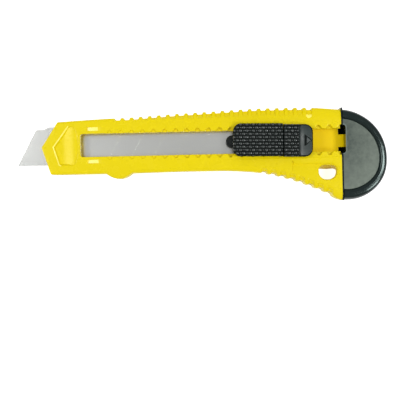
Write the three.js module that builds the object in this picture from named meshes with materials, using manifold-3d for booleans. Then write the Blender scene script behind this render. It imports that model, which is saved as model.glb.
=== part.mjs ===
// Snap-off utility knife with an 18 mm blade. Millimetres, +Z up.
// The knife lies on its back at z = 0. +X runs from the blade to the end cap, and +Y is the
// straight ribbed edge. The origin is on the back face, under the middle of the tooth rows.
import * as THREE from 'three';
import Module from 'manifold-3d';
import { mergeVertices } from 'three/addons/utils/BufferGeometryUtils.js';

// ---- driving dimensions -------------------------------------------------------------------
const BODY_THICKNESS = 11;
const BODY_REAR = 69.4;

// Grooves between the ribs of the straight edge, and those of the flared grip edge.
const RIB_GROOVES = { first: -34.3, pitch: 4.24, count: 22, depth: 1, bottomHalf: 1.05, mouthHalf: 1.5 };
const GRIP_GROOVES = { first: 33.45, pitch: 4.32, count: 8, depth: 1.05, bottomHalf: 0.7, mouthHalf: 1.5 };
const FINGER_STOP = { left: -40.3, right: -28.1, level: -13.3, drop: 2.55 };

const WINDOW = { left: -51.9, half: 5.35, corner: 1.2 };
const TEETH = { first: -38.2, pitch: 5.11, count: 22, depth: 1.8, mouthHalf: 1.75, bottomHalf: 0.7 };
const NOTCH_FLOOR = 8.8;

const CHANNEL = { left: -53.4, half: 9.8, floor: 2.6, roof: 7.5, noseRoof: 3.7 };
const NOSE_HOLLOW_DEPTH = 1.4;
const GRIP_HOLLOW_DEPTH = 0.8;
const RAMP = { left: -48.4, right: -42.2, centre: 7.5, half: 0.8, depth: 0.9 };
const HANG_HOLE = { left: 58.6, right: 67.3, bottom: -18.2, top: -12.2, lowRadius: 3.3, highRadius: 1.6 };
const LATCH = { half: 3.05, underside: 1.1, tip: 74.6, barbLeft: 72.5, barbTop: 3.3 };

const BLADE = { width: 18, thickness: 0.5, bottom: 2.9, tip: -82.6, rear: 24.5 };
const BLADE_SLOPE = 8.9; // how far the pointed end's back corner lies behind the tip
const BLADE_BACK_RELIEF = 1.1; // the first segment's back is lower than the rest
const BLADE_SHIFT = 0.4; // the blade's back rides against the upper wall of the channel
const BLADE_HOLE = { x: 19.2, radius: 1.7 };

const CARRIER = { left: 20.6, rear: 51.2, half: 9.4, baseTop: 5.6, noseEnd: 15.8, noseRadius: 3 };
const NECK = { left: 21, right: 40.5, half: 5.1 };
const SOCKET = { left: 25.6, right: 36.4, half: 3, floor: 7.9 };
const ARM_TOP = 10.6;

const SLIDER = { left: 18.7, split: 42.15, right: 55.8, half: 7.45, bottom: 11.4, top: 15.2, corner: 3.6 };
const TEXTURE_END = 49.5;

const CAP = { x: 69.8, y: -7.2, depth: 22, rimTop: 12.2, faceTop: 11 };
// Radii of the cap's outline and of its sunken face, in even steps from -Y round to +Y.
const CAP_OUTLINE = [20.95, 21.8, 21.95, 20.95, 20.6, 20.85, 21.6];
const CAP_FACE = [16, 17.3, 18.1, 17.1, 16.4, 16.3, 17.4];
const COLLAR = { thickness: 0.75, bottom: -28.2, top: 15, height: 11.2 };
const CAP_NOTCH = { right: 72.1, bottom: -6.3, top: 6.95, backWall: 0.7 };
const CAP_POCKET = { right: 75, half: 3.5, roof: 4 };
const CAP_PRONG = { left: 67.3, inner: 6.95 };
const CAP_SLIT = { left: 80, bottom: 5.2, top: 6.4, half: 10 };

const GAP = 0.35; // clearance between pieces that touch on the real knife
const PAST = 5; // how far a cutter runs past the face that it opens

// ---- solids -------------------------------------------------------------------------------
const wasm = await Module();
wasm.setup();

function solidOf(geometry) {
  geometry.deleteAttribute('normal');
  geometry.deleteAttribute('uv');
  const merged = mergeVertices(geometry, 1e-4);
  const solidMesh = new wasm.Mesh({
    numProp: 3,
    vertProperties: Float32Array.from(merged.attributes.position.array),
    triVerts: Uint32Array.from(merged.index.array),
  });
  return new wasm.Manifold(solidMesh);
}

// A plan outline (a list of [x, y] points) raised from low to high.
function prism(outline, low, high) {
  const shape = new THREE.Shape(outline.map(([x, y]) => new THREE.Vector2(x, y)));
  const geometry = new THREE.ExtrudeGeometry(shape, { depth: high - low, bevelEnabled: false });
  geometry.translate(0, 0, low);
  return solidOf(geometry);
}

// A side profile (a list of [x, z] points) widened from -half to +half in Y.
function sideProfile(outline, half) {
  const shape = new THREE.Shape(outline.map(([x, z]) => new THREE.Vector2(x, z)));
  const geometry = new THREE.ExtrudeGeometry(shape, { depth: 2 * half, bevelEnabled: false });
  geometry.rotateX(Math.PI / 2);
  geometry.translate(0, half, 0);
  return solidOf(geometry);
}

function block([x0, x1], [y0, y1], [z0, z1]) {
  const geometry = new THREE.BoxGeometry(x1 - x0, y1 - y0, z1 - z0);
  geometry.translate((x0 + x1) / 2, (y0 + y1) / 2, (z0 + z1) / 2);
  return solidOf(geometry);
}

function disc(x, y, radius, low, high, sides = 24) {
  const geometry = new THREE.CylinderGeometry(radius, radius, high - low, sides);
  geometry.rotateX(Math.PI / 2);
  geometry.translate(x, y, (low + high) / 2);
  return solidOf(geometry);
}

// Points on an arc about (cx, cy), from one angle to another in degrees.
function arc(cx, cy, radius, from, to, steps) {
  const points = [];
  for (let i = 0; i <= steps; i += 1) {
    const angle = THREE.MathUtils.degToRad(from + ((to - from) * i) / steps);
    points.push([cx + radius * Math.cos(angle), cy + radius * Math.sin(angle)]);
  }
  return points;
}

function roundedRectangle([x0, x1], [y0, y1], leftRadius, rightRadius, steps = 6) {
  return [
    ...arc(x0 + leftRadius, y0 + leftRadius, leftRadius, 180, 270, steps),
    ...arc(x1 - rightRadius, y0 + rightRadius, rightRadius, 270, 360, steps),
    ...arc(x1 - rightRadius, y1 - rightRadius, rightRadius, 0, 90, steps),
    ...arc(x0 + leftRadius, y1 - leftRadius, leftRadius, 90, 180, steps),
  ];
}

function makeMesh(name, solid, material) {
  const { vertProperties, triVerts } = solid.getMesh();
  const geometry = new THREE.BufferGeometry();
  geometry.setAttribute('position', new THREE.Float32BufferAttribute(vertProperties, 3));
  geometry.setIndex(new THREE.Uint32BufferAttribute(triVerts, 1));
  geometry.computeVertexNormals();
  const mesh = new THREE.Mesh(geometry, material);
  mesh.name = name;
  return mesh;
}

// ---- materials ----------------------------------------------------------------------------
const yellowPlastic = new THREE.MeshStandardMaterial({ color: 0xecd600, roughness: 0.35 });
const blackPlastic = new THREE.MeshStandardMaterial({ color: 0x2a3433, roughness: 0.35 });
const capPlastic = new THREE.MeshStandardMaterial({ color: 0x39423f, roughness: 0.4 });
const bladeSteel = new THREE.MeshStandardMaterial({ color: 0xbcbdb8, roughness: 0.3, metalness: 1 });

// ---- handle body --------------------------------------------------------------------------
// Height of an edge line, given by its corner points, at one x.
function edgeAt(points, x) {
  const next = Math.max(1, points.findIndex(([px]) => px >= x));
  const [ax, ay] = points[next - 1];
  const [bx, by] = points[next];
  return THREE.MathUtils.mapLinear(x, ax, bx, ay, by);
}

// The edge's own points, with a row of flat-bottomed grooves cut in. inward is +1 or -1 in Y.
function groovedEdge(points, grooves, inward) {
  const { first, pitch, count, depth, bottomHalf, mouthHalf } = grooves;
  const middle = (bottomHalf + mouthHalf) / 2;
  const flank = [[mouthHalf, 0], [middle, depth / 2], [bottomHalf, depth]];
  const offsets = [...flank.map(([x, y]) => [-x, y]), ...flank.reverse()];
  const stations = Array.from({ length: count }, (_, i) => first + i * pitch);
  const kept = points.filter(([x]) => stations.every((station) => Math.abs(x - station) > mouthHalf));
  for (const station of stations) {
    for (const [offset, drop] of offsets) {
      const x = station + offset;
      kept.push([x, edgeAt(points, x) + inward * drop]);
    }
  }
  return kept.sort((a, b) => a[0] - b[0]);
}

// The rounded finger stop on the lower edge.
function fingerStop() {
  const { left, right, level, drop } = FINGER_STOP;
  const steps = 10;
  const points = [];
  for (let i = 0; i <= steps; i += 1) {
    const t = i / steps;
    points.push([THREE.MathUtils.lerp(left, right, t), level - drop * 4 * t * (1 - t)]);
  }
  return points;
}

function bodyOutline() {
  const nosePoint = [-70.2, -0.6];
  const noseLowCorner = [-66, -13.15];
  const topEdge = [[-62.3, 11.2], [-36.8, 12.35], [-20, 13.05], [-8, 13.7], [5, 14.25], [20, 15],
    [33, 15.45], [44, 15.5], [56, 15.25], [BODY_REAR, 14.1]];
  const gripEdge = [[-28, -13.3], [3.4, -13.1], [20, -13.4], [31.5, -14.5], [40.5, -16.4],
    [49.3, -19.05], [58.2, -22.6], [63.5, -25], [67.2, -27.4], [BODY_REAR, -28.1]];
  const curve = new THREE.SplineCurve(gripEdge.map(([x, y]) => new THREE.Vector2(x, y)));
  const gripPoints = curve.getPoints(36).map(({ x, y }) => [x, y]);
  return [
    nosePoint,
    noseLowCorner,
    ...fingerStop(),
    ...groovedEdge(gripPoints, GRIP_GROOVES, 1),
    ...groovedEdge(topEdge, RIB_GROOVES, -1).reverse(),
  ];
}

// The straight slot that the slider's neck runs in, open at the rear.
function windowSlot() {
  const { left, half, corner } = WINDOW;
  const rear = BODY_REAR + PAST;
  const outline = [
    ...arc(left + corner, corner - half, corner, 180, 270, 4),
    [rear, -half],
    [rear, half],
    ...arc(left + corner, half - corner, corner, 90, 180, 4),
  ];
  return prism(outline, CHANNEL.floor + 1, BODY_THICKNESS + PAST);
}

// The pawl notches: pockets in the upper part of both walls of the slot, open towards it.
function toothNotches() {
  const { first, pitch, count, depth, mouthHalf, bottomHalf } = TEETH;
  const tip = WINDOW.half + depth;
  let notches = null;
  for (let i = 0; i < count; i += 1) {
    const x = first + i * pitch;
    const mouth = mouthHalf + 0.1; // the straight part of the outline stays inside the slot
    const outline = [
      [x - mouth, 1 - WINDOW.half], [x - mouthHalf, -WINDOW.half], [x - bottomHalf, -tip],
      [x + bottomHalf, -tip], [x + mouthHalf, -WINDOW.half], [x + mouth, 1 - WINDOW.half],
      [x + mouth, WINDOW.half - 1], [x + mouthHalf, WINDOW.half], [x + bottomHalf, tip],
      [x - bottomHalf, tip], [x - mouthHalf, WINDOW.half], [x - mouth, WINDOW.half - 1],
    ];
    const notch = prism(outline, NOTCH_FLOOR, BODY_THICKNESS + PAST);
    notches = notches ? notches.add(notch) : notch;
  }
  return notches;
}

// Shallow shield-shaped hollow in the face of the nose.
function noseHollow() {
  const outline = [[-57.6, 8.5], [-64, -0.4], [-61.5, -8.6], ...arc(-72.4, 0, 18.9, -25, 25, 8)];
  return prism(outline, BODY_THICKNESS - NOSE_HOLLOW_DEPTH, BODY_THICKNESS + PAST);
}

// Lower face around the hang hole, open to the flared edge.
function gripHollow() {
  const outline = [[46.6, -9.6], [48.2, -11.1], [65.4, -11.1], [67.4, -13.2], [67.4, -40], [44, -40]];
  return prism(outline, BODY_THICKNESS - GRIP_HOLLOW_DEPTH, BODY_THICKNESS + PAST);
}

function hangHole() {
  const { left, right, bottom, top, lowRadius, highRadius } = HANG_HOLE;
  const outline = [
    ...arc(left + lowRadius, bottom + lowRadius, lowRadius, 180, 270, 6),
    ...arc(right - lowRadius, bottom + lowRadius, lowRadius, 270, 360, 6),
    ...arc(right - highRadius, top - highRadius, highRadius, 0, 90, 3),
    ...arc(left + highRadius, top - highRadius, highRadius, 90, 180, 3),
  ];
  return prism(outline, -PAST, BODY_THICKNESS + PAST);
}

// One of the two small pockets beside the front of the window.
function rampPocket(side) {
  const centre = side * RAMP.centre;
  const width = [centre - RAMP.half, centre + RAMP.half];
  return block([RAMP.left, RAMP.right], width, [BODY_THICKNESS - RAMP.depth, BODY_THICKNESS + PAST]);
}

// Springy tab that reaches from the channel floor into the end cap, with a barb at its tip.
function latchTab() {
  const root = BODY_REAR - 5;
  const { half, underside, tip, barbLeft, barbTop } = LATCH;
  return sideProfile([
    [root, underside], [tip, underside], [tip, underside + 1.1], [barbLeft + 0.7, barbTop],
    [barbLeft + 0.1, barbTop], [barbLeft, CHANNEL.floor], [root, CHANNEL.floor],
  ], half);
}

function handleBody() {
  const rear = BODY_REAR + PAST;
  const nose = -90;
  const width = [-CHANNEL.half, CHANNEL.half];
  let solid = prism(bodyOutline(), 0, BODY_THICKNESS);
  solid = solid.subtract(block([CHANNEL.left, rear], width, [CHANNEL.floor, CHANNEL.roof]));
  solid = solid.subtract(block([nose, CHANNEL.left + 1], width, [CHANNEL.floor, CHANNEL.noseRoof]));
  for (const cutter of [windowSlot(), toothNotches(), noseHollow(), gripHollow(), hangHole()]) {
    solid = solid.subtract(cutter);
  }
  solid = solid.subtract(rampPocket(-1)).subtract(rampPocket(1));
  return solid.add(latchTab());
}

// ---- end cap ------------------------------------------------------------------------------
// Prong on one side of the cap, which plugs into the channel.
function capProng(side) {
  const edges = [side * CAP_PRONG.inner, side * (CHANNEL.half - GAP)].sort((a, b) => a - b);
  return block([CAP_PRONG.left, CAP.x + 1], edges, [CHANNEL.floor + GAP, CHANNEL.roof - GAP]);
}

// Half-round outline through radii that are evenly spread from -90 to 90 degrees.
function capOutline(radii) {
  const step = 180 / (radii.length - 1);
  const curve = new THREE.SplineCurve(radii.map((radius, i) => new THREE.Vector2(i * step - 90, radius)));
  return curve.getPoints(48).map((point) => {
    const angle = THREE.MathUtils.degToRad(point.x);
    return [CAP.x + point.y * Math.cos(angle), CAP.y + point.y * Math.sin(angle)];
  });
}

function endCap() {
  const { x, y, depth, rimTop, faceTop } = CAP;
  const above = rimTop + PAST;
  let solid = prism(capOutline(CAP_OUTLINE), 0, rimTop);
  const [faceLow, ...faceRound] = capOutline(CAP_FACE);
  const faceHigh = faceRound[faceRound.length - 1];
  const face = [[x - PAST, faceLow[1]], faceLow, ...faceRound, [x - PAST, faceHigh[1]]];
  solid = solid.subtract(prism(face, faceTop, above));
  // Thin collar along the front edge, as wide as the end of the handle.
  solid = solid.add(block([x, x + COLLAR.thickness], [COLLAR.bottom, COLLAR.top], [0, COLLAR.height]));
  // Notch in the front edge, over the latch tab, and the pocket that the tab's barb sits in.
  const { right, bottom, top, backWall } = CAP_NOTCH;
  solid = solid.subtract(block([x - PAST, right], [bottom, top], [backWall, above]));
  const pocketWidth = [-CAP_POCKET.half, CAP_POCKET.half];
  solid = solid.subtract(block([right - 1, CAP_POCKET.right], pocketWidth, [backWall, CAP_POCKET.roof]));
  solid = solid.add(capProng(-1)).add(capProng(1));
  // Slit in the round end for snapping off a worn blade segment.
  const slitWidth = [y - CAP_SLIT.half, y + CAP_SLIT.half];
  return solid.subtract(block([CAP_SLIT.left, x + depth], slitWidth, [CAP_SLIT.bottom, CAP_SLIT.top]));
}

// ---- blade --------------------------------------------------------------------------------
function blade() {
  const { width, thickness, bottom, tip, rear } = BLADE;
  const half = width / 2;
  const slopeTop = tip + BLADE_SLOPE;
  const segment = 5.9; // from the slope's top to where the back reaches its full height
  const outline = [
    [tip, -half], [rear, -half], [rear, half], [slopeTop + segment, half],
    [slopeTop + segment - 2.1, half - BLADE_BACK_RELIEF], [slopeTop, half - BLADE_BACK_RELIEF],
  ];
  const hole = disc(BLADE_HOLE.x, 0, BLADE_HOLE.radius, bottom - 1, bottom + thickness + 1);
  return prism(outline, bottom, bottom + thickness).subtract(hole).translate([0, BLADE_SHIFT, 0]);
}

// ---- blade carrier ------------------------------------------------------------------------
// Springy arm on one side, behind the neck. Its pawl drops into the notches of the window.
function pawlArm(side) {
  const inner = [[39.5, 3.9], [47, 3.9], [47.6, 3.5], [50.6, 3.5]];
  const outer = [[50.6, 4.3], [49.3, 5], [48.3, 5], [46.8, 4.7], [39.5, 5]];
  const outline = [...inner, ...outer].map(([x, y]) => [x, side * y]);
  return prism(outline, CARRIER.baseTop + GAP, ARM_TOP);
}

function bladeCarrier() {
  const bottom = BLADE.bottom + BLADE.thickness + GAP;
  const neckTop = SLIDER.bottom - GAP;
  const { left, rear, half, baseTop, noseEnd, noseRadius } = CARRIER;
  let solid = prism(roundedRectangle([left, rear], [-half, half], 2, 1), bottom, baseTop);
  // Rounded nose that reaches forward over the blade, with the pin that drives the blade.
  const noseSides = [BLADE_SHIFT - noseRadius, BLADE_SHIFT + noseRadius];
  const nose = roundedRectangle([noseEnd, left + 3], noseSides, noseRadius - 0.01, 0.5);
  solid = solid.add(prism(nose, bottom, CHANNEL.roof - GAP));
  const pinRadius = BLADE_HOLE.radius - GAP;
  solid = solid.add(disc(BLADE_HOLE.x, BLADE_SHIFT, pinRadius, BLADE.bottom, bottom + 1));
  // Neck through the window, with a socket for the thumb plate's foot.
  solid = solid.add(block([NECK.left, NECK.right], [-NECK.half, NECK.half], [bottom, neckTop]));
  const socketWidth = [-SOCKET.half, SOCKET.half];
  solid = solid.subtract(block([SOCKET.left, SOCKET.right], socketWidth, [SOCKET.floor, neckTop + 1]));
  return solid.add(pawlArm(-1)).add(pawlArm(1));
}

// ---- slider pieces ------------------------------------------------------------------------
// The slider's plan outline, cut to a side profile.
function sliderPiece(profile) {
  const { left, right, half, corner, bottom, top } = SLIDER;
  const outline = roundedRectangle([left, right], [-half, half], corner, corner, 8);
  return prism(outline, bottom, top).intersect(sideProfile(profile, 2 * half));
}

function thumbPlate() {
  const { left, split, bottom, top } = SLIDER;
  const rear = split - GAP / 2;
  const plate = sliderPiece([
    [left, bottom], [rear, bottom], [rear, top],
    [left + 2.4, top], [left + 0.6, top - 1.1], [left, top - 2.4],
  ]);
  const footHalf = SOCKET.half - GAP;
  const footLength = [SOCKET.left + GAP, SOCKET.right - GAP];
  return plate.add(block(footLength, [-footHalf, footHalf], [SOCKET.floor + GAP, bottom + 1]));
}

function lockSlide() {
  const { split, right, bottom, top } = SLIDER;
  const front = split + GAP / 2;
  const plate = sliderPiece([
    [front, bottom], [right, bottom], [right, top - 2.6], [right - 1, top - 1.7],
    [TEXTURE_END + 1, top - 0.8], [TEXTURE_END, top], [front, top],
  ]);
  // Wedge that stands between the carrier's arms and keeps the pawls spread while it is forward.
  const wedgeOutline = [[43, -2.6], [47.4, -2.9], [49.6, -2.9], [49.6, 2.9], [47.4, 2.9], [43, 2.6]];
  return plate.add(prism(wedgeOutline, CARRIER.baseTop + 2 * GAP, bottom + 1));
}

// ---- assembly -----------------------------------------------------------------------------
const knife = new THREE.Group();
const carriage = new THREE.Group();
carriage.add(makeMesh('blade', blade(), bladeSteel));
carriage.add(makeMesh('blade_carrier', bladeCarrier(), blackPlastic));
carriage.add(makeMesh('thumb_plate', thumbPlate(), blackPlastic));
carriage.add(makeMesh('lock_slide', lockSlide(), blackPlastic));
knife.add(carriage);
knife.add(makeMesh('handle_body', handleBody(), yellowPlastic));
knife.add(makeMesh('end_cap', endCap(), capPlastic));

export default knife;
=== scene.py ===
"""Looks of the snap-off utility knife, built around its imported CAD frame.

Shapes are written in millimetres, in the row frame: the knife lies on its back at z = 0, +X runs
from the blade to the end cap and +Y is the straight ribbed edge. mesh_object() turns them into metres.
"""
import math

import bpy
import numpy as np
from mathutils import Matrix, Vector


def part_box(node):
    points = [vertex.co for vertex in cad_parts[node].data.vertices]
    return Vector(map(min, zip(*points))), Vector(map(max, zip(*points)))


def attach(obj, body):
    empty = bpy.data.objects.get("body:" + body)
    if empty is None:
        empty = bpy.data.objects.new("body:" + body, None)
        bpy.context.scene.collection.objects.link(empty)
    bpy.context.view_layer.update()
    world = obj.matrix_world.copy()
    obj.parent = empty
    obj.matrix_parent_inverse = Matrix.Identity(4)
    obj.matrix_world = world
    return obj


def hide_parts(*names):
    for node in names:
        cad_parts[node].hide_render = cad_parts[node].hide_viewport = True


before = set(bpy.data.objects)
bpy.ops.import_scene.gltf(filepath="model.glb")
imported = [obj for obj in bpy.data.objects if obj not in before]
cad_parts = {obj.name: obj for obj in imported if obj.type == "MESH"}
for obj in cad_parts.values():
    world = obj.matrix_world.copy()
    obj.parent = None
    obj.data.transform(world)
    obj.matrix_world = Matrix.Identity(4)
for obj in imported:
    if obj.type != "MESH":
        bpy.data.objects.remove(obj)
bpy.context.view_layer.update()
MM = 0.001


def box_mm(node):
    """Lower and upper corner of a CAD node's box, in millimetres."""
    low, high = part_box(node)
    return np.array(low) / MM, np.array(high) / MM


BODY_HIGH = box_mm("handle_body")[1]
CAP_LOW = box_mm("end_cap")[0]
BLADE_LOW, BLADE_HIGH = box_mm("blade")
CARRIER_LOW = box_mm("blade_carrier")[0]
THUMB_LOW, THUMB_HIGH = box_mm("thumb_plate")
LOCK_LOW, LOCK_HIGH = box_mm("lock_slide")

# ---- mesh building ------------------------------------------------------------------------


def smoothstep(low, high, value):
    t = np.clip((value - low) / (high - low), 0.0, 1.0)
    return t * t * (3 - 2 * t)


def mesh_object(name, points, faces):
    mesh = bpy.data.meshes.new(name)
    mesh.from_pydata((np.asarray(points, float) * MM).tolist(), [], faces)
    mesh.update()
    piece = bpy.data.objects.new(name, mesh)
    bpy.context.scene.collection.objects.link(piece)
    return piece


def loft(name, rings):
    """Closed solid through rings of equally many (x, y, z) points, with a flat face on each end."""
    rings = np.asarray(rings, float)
    count, size, _ = rings.shape
    faces = []
    for i in range(count - 1):
        for j in range(size):
            k = (j + 1) % size
            faces.append((i * size + j, i * size + k, (i + 1) * size + k, (i + 1) * size + j))
    faces.append(tuple(reversed(range(size))))
    faces.append(tuple(range((count - 1) * size, count * size)))
    return facing_outwards(mesh_object(name, rings.reshape(-1, 3), faces))


def facing_outwards(piece):
    if volume(piece) < 0:
        piece.data.flip_normals()
    return piece


def volume(piece):
    """Six times the signed volume, which is negative where the faces point inwards."""
    total = 0.0
    for face in piece.data.polygons:
        corners = [piece.data.vertices[i].co for i in face.vertices]
        for second, third in zip(corners[1:], corners[2:]):
            total += corners[0].dot(second.cross(third))
    return total


def joined(name, pieces):
    """One mesh of separate solids that don't touch each other."""
    points, faces = [], []
    for piece in pieces:
        start = len(points)
        points += [vertex.co / MM for vertex in piece.data.vertices]
        faces += [tuple(start + i for i in face.vertices) for face in piece.data.polygons]
        bpy.data.objects.remove(piece)
    return mesh_object(name, points, faces)


def boolean(target, tool, operation):
    modifier = target.modifiers.new("boolean", "BOOLEAN")
    modifier.object = tool
    modifier.operation = operation
    modifier.solver = "MANIFOLD"
    graph = bpy.context.evaluated_depsgraph_get()
    result = bpy.data.meshes.new_from_object(target.evaluated_get(graph))
    target.modifiers.clear()
    target.data = result
    bpy.data.objects.remove(tool)
    return target


def cut(target, *tools):
    for tool in tools:
        boolean(target, tool, "DIFFERENCE")


def add(target, *tools):
    for tool in tools:
        boolean(target, tool, "UNION")


def arc(cx, cy, radius, start, end, steps):
    angles = np.radians(np.linspace(start, end, steps + 1))
    return [(cx + radius * math.cos(a), cy + radius * math.sin(a)) for a in angles]


def rounded_rectangle(x0, x1, y0, y1, radii, steps=6):
    """Anticlockwise outline. radii are those of the corners from lower left, anticlockwise."""
    a, b, c, d = radii
    return [
        *arc(x0 + a, y0 + a, a, 180, 270, steps),
        *arc(x1 - b, y0 + b, b, 270, 360, steps),
        *arc(x1 - c, y1 - c, c, 0, 90, steps),
        *arc(x0 + d, y1 - d, d, 90, 180, steps),
    ]


def beyond(start, towards, distance):
    """The point at a distance from start along the line towards another point."""
    start, towards = np.array(start, float), np.array(towards, float)
    return tuple(start + distance * (towards - start) / np.linalg.norm(towards - start))


def rounded_corner(before, corner, after, radius, steps=5):
    """Points of an arc that rounds the corner between two straight edges."""
    corner = np.array(corner, float)
    first = (np.array(before, float) - corner) / np.linalg.norm(np.array(before, float) - corner)
    last = (np.array(after, float) - corner) / np.linalg.norm(np.array(after, float) - corner)
    half = math.acos(float(first @ last)) / 2
    middle = first + last
    centre = corner + middle / np.linalg.norm(middle) * radius / math.sin(half)
    touch = radius / math.tan(half)
    start, end = corner + first * touch - centre, corner + last * touch - centre
    a = math.atan2(start[1], start[0])
    b = math.atan2(end[1], end[0])
    turn = (b - a + math.pi) % (2 * math.pi) - math.pi
    return [tuple(centre + radius * np.array([math.cos(a + turn * t), math.sin(a + turn * t)]))
            for t in np.linspace(0, 1, steps + 1)]


def half_round(centre, radii, steps=72):
    """Outline through radii that are evenly spread from -90 to 90 degrees."""
    stations = [(90 * (2 * i / (len(radii) - 1) - 1), radius) for i, radius in enumerate(radii)]
    points = []
    for degrees in np.linspace(-90, 90, steps + 1):
        radius = smooth_line(stations, degrees)
        angle = math.radians(degrees)
        points.append((centre[0] + radius * math.cos(angle), centre[1] + radius * math.sin(angle)))
    return points


def offset(outline, distance):
    """The anticlockwise outline moved outwards by distance, corner by corner."""
    points = np.asarray(outline, float)
    before = points - np.roll(points, 1, axis=0)
    after = np.roll(points, -1, axis=0) - points
    normals = []
    for edge in (before, after):
        length = np.linalg.norm(edge, axis=1, keepdims=True)
        normals.append(np.c_[edge[:, 1], -edge[:, 0]] / length)
    bisector = normals[0] + normals[1]
    share = 1 + (normals[0] * normals[1]).sum(1, keepdims=True)
    return points + distance * bisector / np.maximum(share, 0.35)


def quarter(radius, steps=4):
    """(height, outward) pairs of a quarter round, from the wall up to the face."""
    angles = np.linspace(0, math.pi / 2, steps + 1)
    return [(radius * math.sin(a), radius * (1 - math.cos(a))) for a in angles]


def layered(name, outline, levels):
    """Closed solid whose outline is moved outwards by the distance of each (height, distance) level."""
    rings = []
    for z, out in levels:
        moved = offset(outline, out) if out else np.asarray(outline, float)
        rings.append(np.c_[moved, np.full(len(moved), z)])
    return loft(name, rings)


def flared(name, outline, low, high, top=0.0, bottom=0.0, past=1.5):
    """A cutter that leaves edges rounded by top and bottom where it passes the heights high and low."""
    levels = [(low - past, bottom)]
    if bottom:
        levels += [(low + bottom - up, out) for up, out in reversed(quarter(bottom))]
    if top:
        levels += [(high - top + up, out) for up, out in quarter(top)]
    levels.append((high + past, top))
    return layered(name, outline, levels)


def rounded_prism(name, outline, low, high, top=0.0, bottom=0.0):
    """A solid with rounded upper and lower edges."""
    levels = []
    if bottom:
        levels += [(low + bottom - up, -out) for up, out in reversed(quarter(bottom))]
    else:
        levels.append((low, 0.0))
    if top:
        levels += [(high - top + up, -out) for up, out in quarter(top)]
    else:
        levels.append((high, 0.0))
    return layered(name, outline, levels)


def block(name, x, y, z):
    outline = [(x[0], y[0]), (x[1], y[0]), (x[1], y[1]), (x[0], y[1])]
    return loft(name, [[(px, py, pz) for px, py in outline] for pz in z])


def along_y(name, profile, y0, y1):
    """Closed solid from a profile of (x, z) points, from y0 to y1."""
    return loft(name, [[(x, y, z) for x, z in profile] for y in (y0, y1)])


def along_x(name, profile, x0, x1):
    """Closed solid from a profile of (y, z) points, from x0 to x1."""
    return loft(name, [[(x, y, z) for y, z in profile] for x in (x0, x1)])


def smooth_line(points, x):
    """Height at x of a smooth line through the points (Catmull-Rom tangents)."""
    px, py = np.asarray(points, float).T
    slope = np.gradient(py, px)
    i = int(np.clip(np.searchsorted(px, x) - 1, 0, len(px) - 2))
    width = px[i + 1] - px[i]
    t = (x - px[i]) / width
    rise = py[i + 1] - py[i]
    a = slope[i] * width - rise
    b = -slope[i + 1] * width + rise
    return (1 - t) * py[i] + t * py[i + 1] + t * (1 - t) * (a * (1 - t) + b * t)


def set_materials(piece, *materials):
    piece.data.materials.clear()
    for material in materials:
        piece.data.materials.append(material)


def shade(piece, angle=32.0):
    """Smooth shading with sharp creases, and flat faces that stay flat beside small roundings."""
    mesh = piece.data
    mesh.shade_smooth()
    mesh.set_sharp_from_angle(angle=math.radians(angle))
    weighted = piece.modifiers.new("weighted_normal", "WEIGHTED_NORMAL")
    weighted.keep_sharp = True
    weighted.weight = 100


# ---- materials ----------------------------------------------------------------------------


def new_material(name):
    material = bpy.data.materials.new(name)
    material.use_nodes = True
    nodes = material.node_tree.nodes
    nodes.clear()
    shader = nodes.new("ShaderNodeBsdfPrincipled")
    output = nodes.new("ShaderNodeOutputMaterial")
    material.node_tree.links.new(shader.outputs["BSDF"], output.inputs["Surface"])
    return material, nodes, material.node_tree.links, shader


def noise_field(nodes, links, scale, detail=3.0, stretch=(1, 1, 1), roughness=0.5):
    """Noise over the object's own coordinates, in metres. scale counts features per metre."""
    place = nodes.new("ShaderNodeTexCoord")
    mapping = nodes.new("ShaderNodeMapping")
    mapping.inputs["Scale"].default_value = stretch
    noise = nodes.new("ShaderNodeTexNoise")
    noise.inputs["Scale"].default_value = scale
    noise.inputs["Detail"].default_value = detail
    noise.inputs["Roughness"].default_value = roughness
    links.new(place.outputs["Object"], mapping.inputs["Vector"])
    links.new(mapping.outputs["Vector"], noise.inputs["Vector"])
    return noise.outputs["Fac"]


def remap(nodes, links, value, from_low, from_high, to_low, to_high):
    node = nodes.new("ShaderNodeMapRange")
    node.inputs["From Min"].default_value = from_low
    node.inputs["From Max"].default_value = from_high
    node.inputs["To Min"].default_value = to_low
    node.inputs["To Max"].default_value = to_high
    links.new(value, node.inputs["Value"])
    return node.outputs["Result"]


def mix_colour(nodes, links, factor, first, second):
    node = nodes.new("ShaderNodeMix")
    node.data_type = "RGBA"
    node.inputs["A"].default_value = (*first, 1.0)
    node.inputs["B"].default_value = (*second, 1.0)
    links.new(factor, node.inputs["Factor"])
    return node.outputs["Result"]


def add_values(nodes, links, first, second, clamp=False):
    node = nodes.new("ShaderNodeMath")
    node.operation = "ADD"
    node.use_clamp = clamp
    links.new(first, node.inputs[0])
    links.new(second, node.inputs[1])
    return node.outputs["Value"]


def add_bump(nodes, links, height, strength, distance, normal=None):
    node = nodes.new("ShaderNodeBump")
    node.inputs["Strength"].default_value = strength
    node.inputs["Distance"].default_value = distance
    links.new(height, node.inputs["Height"])
    if normal is not None:
        links.new(normal, node.inputs["Normal"])
    return node.outputs["Normal"]


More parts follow.
